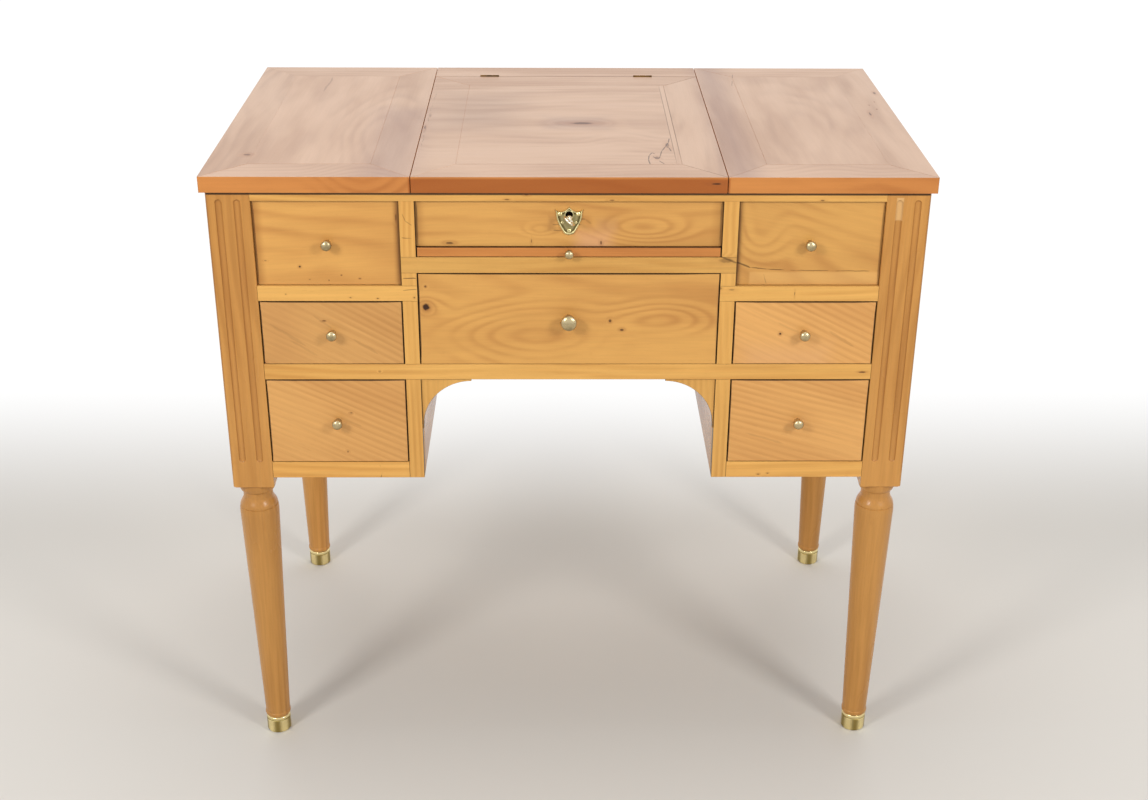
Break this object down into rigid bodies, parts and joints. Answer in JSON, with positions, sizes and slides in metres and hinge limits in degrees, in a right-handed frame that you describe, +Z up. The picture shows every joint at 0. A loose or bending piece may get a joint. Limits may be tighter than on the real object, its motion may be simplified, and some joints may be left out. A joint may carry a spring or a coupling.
{
  "type": "dressing table",
  "caption": "Wooden dressing table on turned legs, with hinged lids, a looking-glass under the centre lid, a pull-out slide and drawers around a kneehole.",
  "frame": {"origin": "on the floor, under the middle of the whole outline", "axes": "+X to the right seen from the sitter, +Y to the back, +Z up"},
  "size_m": [0.7922, 0.484, 0.7417],
  "materials": {
    "case_wood": "honey fruitwood, satin wax polish",
    "front_wood": "figured honey fruitwood, satin wax polish",
    "lid_wood": "honey fruitwood, polished",
    "inside_wood": "unpolished pale secondary wood",
    "knob_brass": "pale polished brass",
    "ferrule_brass": "polished yellow brass",
    "old_brass": "aged brass",
    "lock_iron": "old polished steel",
    "looking_glass": "silvered glass"
  },
  "bodies": {
    "case": {"back_panels": "inside_wood", "bottom_rails": "case_wood", "case_hinges": "old_brass", "centre_rail": "case_wood", "drawer_shelves": "inside_wood", "escutcheon": "old_brass", "false_front_centre": "front_wood", "false_front_knobs": "knob_brass", "false_front_left": "front_wood", "false_front_right": "front_wood", "foot_ferrules": "ferrule_brass", "guides_and_runners": "inside_wood", "kneehole_brackets": "case_wood", "lock_case": "lock_iron", "lower_stiles": "case_wood", "middle_rail": "case_wood", "partition_left": "case_wood", "partition_right": "case_wood", "post_front_left": "case_wood", "post_front_right": "case_wood", "post_rear_left": "case_wood", "post_rear_right": "case_wood", "rear_top_strip": "lid_wood", "side_panel_left": "case_wood", "side_panel_right": "case_wood", "side_rails": "case_wood", "top_rail": "case_wood", "upper_stiles": "case_wood", "well_floors": "inside_wood"},
    "left_lid": {"lid_left_frame": "lid_wood", "lid_left_panel": "lid_wood", "lid_left_hinge_leaves": "old_brass"},
    "right_lid": {"lid_right_frame": "lid_wood", "lid_right_panel": "lid_wood", "lid_right_hinge_leaves": "old_brass"},
    "centre_lid": {"lid_centre_frame": "lid_wood", "lid_centre_panel": "lid_wood", "lid_centre_hinge_leaves": "old_brass", "mirror_glass": "looking_glass", "mirror_beads": "case_wood", "strike_plate": "old_brass"},
    "slide": {"slide_board": "front_wood", "slide_knob": "knob_brass"},
    "key": {"key": "lock_iron"},
    "bolt": {"lock_bolt": "lock_iron"},
    "middle_drawer_left": {"middle_drawer_left_front": "front_wood", "middle_drawer_left_box": "inside_wood", "middle_drawer_left_knob": "knob_brass"},
    "lower_drawer_left": {"lower_drawer_left_front": "front_wood", "lower_drawer_left_box": "inside_wood", "lower_drawer_left_knob": "knob_brass"},
    "middle_drawer_right": {"middle_drawer_right_front": "front_wood", "middle_drawer_right_box": "inside_wood", "middle_drawer_right_knob": "knob_brass"},
    "lower_drawer_right": {"lower_drawer_right_front": "front_wood", "lower_drawer_right_box": "inside_wood", "lower_drawer_right_knob": "knob_brass"},
    "centre_drawer": {"centre_drawer_front": "front_wood", "centre_drawer_box": "inside_wood", "centre_drawer_knob": "knob_brass"}
  },
  "joints": [
    {"name": "left_lid_hinge", "type": "hinge", "parent": "case", "child": "left_lid", "pos_m": [-0.39375, 0, 0.7216], "axis": [0, -1, 0], "range_deg": [0, 180]},
    {"name": "right_lid_hinge", "type": "hinge", "parent": "case", "child": "right_lid", "pos_m": [0.39375, 0, 0.7216], "axis": [0, 1, 0], "range_deg": [0, 180]},
    {"name": "centre_lid_hinge", "type": "hinge", "parent": "case", "child": "centre_lid", "pos_m": [0, 0.1966, 0.74], "axis": [-1, 0, 0], "range_deg": [0, 105]},
    {"name": "slide_pull", "type": "slide", "parent": "case", "child": "slide", "axis": [0, -1, 0], "range_m": [0, 0.28]},
    {"name": "middle_drawer_left_pull", "type": "slide", "parent": "case", "child": "middle_drawer_left", "axis": [0, -1, 0], "range_m": [0, 0.3]},
    {"name": "lower_drawer_left_pull", "type": "slide", "parent": "case", "child": "lower_drawer_left", "axis": [0, -1, 0], "range_m": [0, 0.3]},
    {"name": "middle_drawer_right_pull", "type": "slide", "parent": "case", "child": "middle_drawer_right", "axis": [0, -1, 0], "range_m": [0, 0.3]},
    {"name": "lower_drawer_right_pull", "type": "slide", "parent": "case", "child": "lower_drawer_right", "axis": [0, -1, 0], "range_m": [0, 0.3]},
    {"name": "centre_drawer_pull", "type": "slide", "parent": "case", "child": "centre_drawer", "axis": [0, -1, 0], "range_m": [0, 0.3]},
    {"name": "key_turn", "type": "hinge", "parent": "case", "child": "key", "pos_m": [0, -0.224, 0.6932], "axis": [0, 1, 0], "range_deg": [0, 90]},
    {"name": "bolt_throw", "type": "slide", "parent": "case", "child": "bolt", "axis": [1, 0, 0], "range_m": [0, 0.0072]}
  ],
  "couplings": [
    {"joint": "bolt_throw", "follows": "key_turn", "m_per_rad": 0.0044563}
  ]
}
